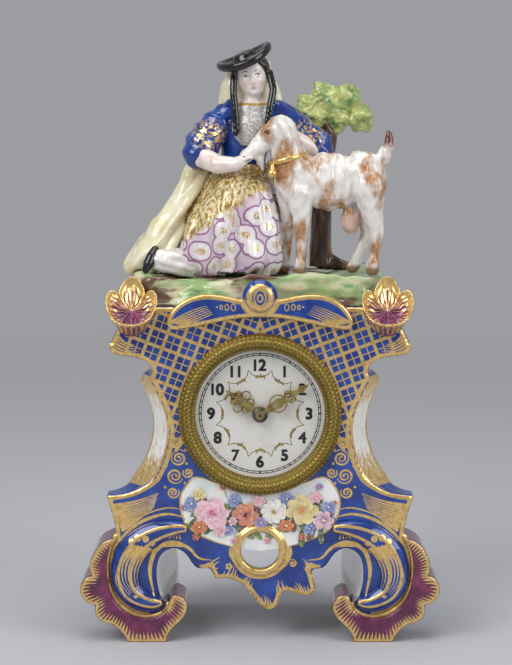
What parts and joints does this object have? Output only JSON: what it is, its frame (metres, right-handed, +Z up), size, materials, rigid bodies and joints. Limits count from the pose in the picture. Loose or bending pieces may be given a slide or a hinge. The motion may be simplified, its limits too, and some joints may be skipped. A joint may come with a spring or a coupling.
{
  "type": "figural clock",
  "caption": "Figural porcelain mantel clock on scroll feet with a seated shepherdess and a goat on top, a brass bezel, a round dial and a spring movement wound from behind.",
  "frame": {"origin": "on the floor, under the middle of the overall box", "axes": "+X to the right seen from the front, +Y from the dial to the back, +Z up"},
  "size_m": [0.226, 0.113, 0.3748],
  "materials": {
    "case_glaze": "glossy blue and white glaze with gilding",
    "ruffle_glaze": "glossy plum glaze with gilt edges",
    "ground_glaze": "mottled green and brown glaze",
    "bark_glaze": "brown glaze",
    "leaf_glaze": "yellow-green glaze",
    "goat_glaze": "cream white glaze with brown patches",
    "gilding": "burnished gilding",
    "skirt_glaze": "pale glaze with gilt and plum flowers",
    "jacket_glaze": "blue glaze with gilt embroidery",
    "linen_glaze": "white glaze",
    "skin_glaze": "flesh-tinted glaze",
    "black_glaze": "glossy black glaze",
    "cream_glaze": "cream glaze",
    "bezel_brass": "stamped brass, darkened in the hollows",
    "glass": "clear domed glass",
    "dial_silver": "silvered satin with black numerals and gilt garlands",
    "hand_gilding": "gilt stamped brass",
    "movement_brass": "lacquered brass",
    "movement_steel": "polished steel"
  },
  "bodies": {
    "case": {"arm_left": "jacket_glaze", "arm_right": "jacket_glaze", "back_plate": "movement_brass", "bezel": "bezel_brass", "case_body": "case_glaze", "chest": "linen_glaze", "cloak": "cream_glaze", "corner_shell_left": "ruffle_glaze", "corner_shell_right": "ruffle_glaze", "crest": "case_glaze", "dial": "dial_silver", "dial_glass": "glass", "drum_screws": "movement_steel", "foot_frill_left": "ruffle_glaze", "foot_frill_right": "ruffle_glaze", "foot_scroll_left": "case_glaze", "foot_scroll_right": "case_glaze", "front_plate": "movement_brass", "goat_body": "goat_glaze", "goat_collar": "gilding", "goat_head": "goat_glaze", "goat_legs": "goat_glaze", "hair": "black_glaze", "hairspring": "movement_steel", "hat": "black_glaze", "head": "skin_glaze", "jacket": "jacket_glaze", "mainspring": "movement_steel", "mound": "ground_glaze", "movement_drum": "movement_brass", "movement_straps": "movement_brass", "petticoat": "linen_glaze", "pillars": "movement_brass", "rear_ring": "movement_brass", "shoe": "black_glaze", "skirt": "skirt_glaze", "standoffs": "movement_brass", "strap_screws": "movement_steel", "tree_foliage": "leaf_glaze", "tree_trunk": "bark_glaze", "veil": "cream_glaze"},
    "centre_works": {"centre_arbor": "movement_steel", "centre_wheel": "movement_brass", "cannon_pinion": "movement_steel", "minute_hand": "hand_gilding", "hand_nut": "hand_gilding", "set_knob": "movement_brass"},
    "hour_works": {"hour_wheel": "movement_brass", "hour_hand": "hand_gilding"},
    "minute_works": {"minute_wheel": "movement_brass"},
    "great_works": {"great_wheel": "movement_brass", "click": "movement_steel"},
    "winding_works": {"winding_arbor": "movement_steel", "winding_key": "movement_brass"},
    "third_works": {"third_wheel": "movement_brass"},
    "fourth_works": {"fourth_wheel": "movement_brass"},
    "escape_works": {"escape_wheel": "movement_brass"},
    "lever_works": {"pallet_lever": "movement_steel"},
    "balance_works": {"balance_wheel": "movement_brass"},
    "rate_works": {"regulator": "movement_steel"}
  },
  "joints": [
    {"name": "minute_hand_turn", "type": "hinge", "parent": "case", "child": "centre_works", "pos_m": [0, 0, 0.14461], "axis": [0, 1, 0], "continuous": true},
    {"name": "hour_hand_turn", "type": "hinge", "parent": "case", "child": "hour_works", "pos_m": [0, 0, 0.14461], "axis": [0, 1, 0], "continuous": true},
    {"name": "minute_wheel_turn", "type": "hinge", "parent": "case", "child": "minute_works", "pos_m": [-0.01126, 0, 0.14051], "axis": [0, 1, 0], "continuous": true},
    {"name": "great_wheel_turn", "type": "hinge", "parent": "case", "child": "great_works", "pos_m": [0, 0, 0.12364], "axis": [0, 1, 0], "continuous": true},
    {"name": "third_wheel_turn", "type": "hinge", "parent": "case", "child": "third_works", "pos_m": [-0.01513, 0, 0.15334], "axis": [0, 1, 0], "continuous": true},
    {"name": "fourth_wheel_turn", "type": "hinge", "parent": "case", "child": "fourth_works", "pos_m": [-0.00468, 0, 0.16379], "axis": [0, 1, 0], "continuous": true},
    {"name": "escape_wheel_turn", "type": "hinge", "parent": "case", "child": "escape_works", "pos_m": [0.005, 0, 0.16379], "axis": [0, 1, 0], "continuous": true},
    {"name": "winding", "type": "hinge", "parent": "great_works", "child": "winding_works", "pos_m": [0, 0, 0.12364], "axis": [0, 1, 0], "range_deg": [0, 1980]},
    {"name": "lever_rock", "type": "hinge", "parent": "case", "child": "lever_works", "pos_m": [0.01317, 0, 0.16265], "axis": [0, 1, 0], "range_deg": [-5, 5]},
    {"name": "balance_swing", "type": "hinge", "parent": "case", "child": "balance_works", "pos_m": [0.02343, 0, 0.1552], "axis": [0, 1, 0], "range_deg": [-150, 150], "stiffness_Nm_per_rad": 0.000008},
    {"name": "rate_setting", "type": "hinge", "parent": "case", "child": "rate_works", "pos_m": [0.02343, 0, 0.1552], "axis": [0, 1, 0], "range_deg": [-22, 22]}
  ],
  "couplings": [
    {"joint": "hour_hand_turn", "follows": "minute_hand_turn", "ratio": 0.083333},
    {"joint": "minute_wheel_turn", "follows": "minute_hand_turn", "ratio": -0.33333},
    {"joint": "great_wheel_turn", "follows": "minute_hand_turn", "ratio": -0.16667},
    {"joint": "third_wheel_turn", "follows": "minute_hand_turn", "ratio": -6},
    {"joint": "fourth_wheel_turn", "follows": "minute_hand_turn", "ratio": 36},
    {"joint": "escape_wheel_turn", "follows": "minute_hand_turn", "ratio": -180}
  ]
}
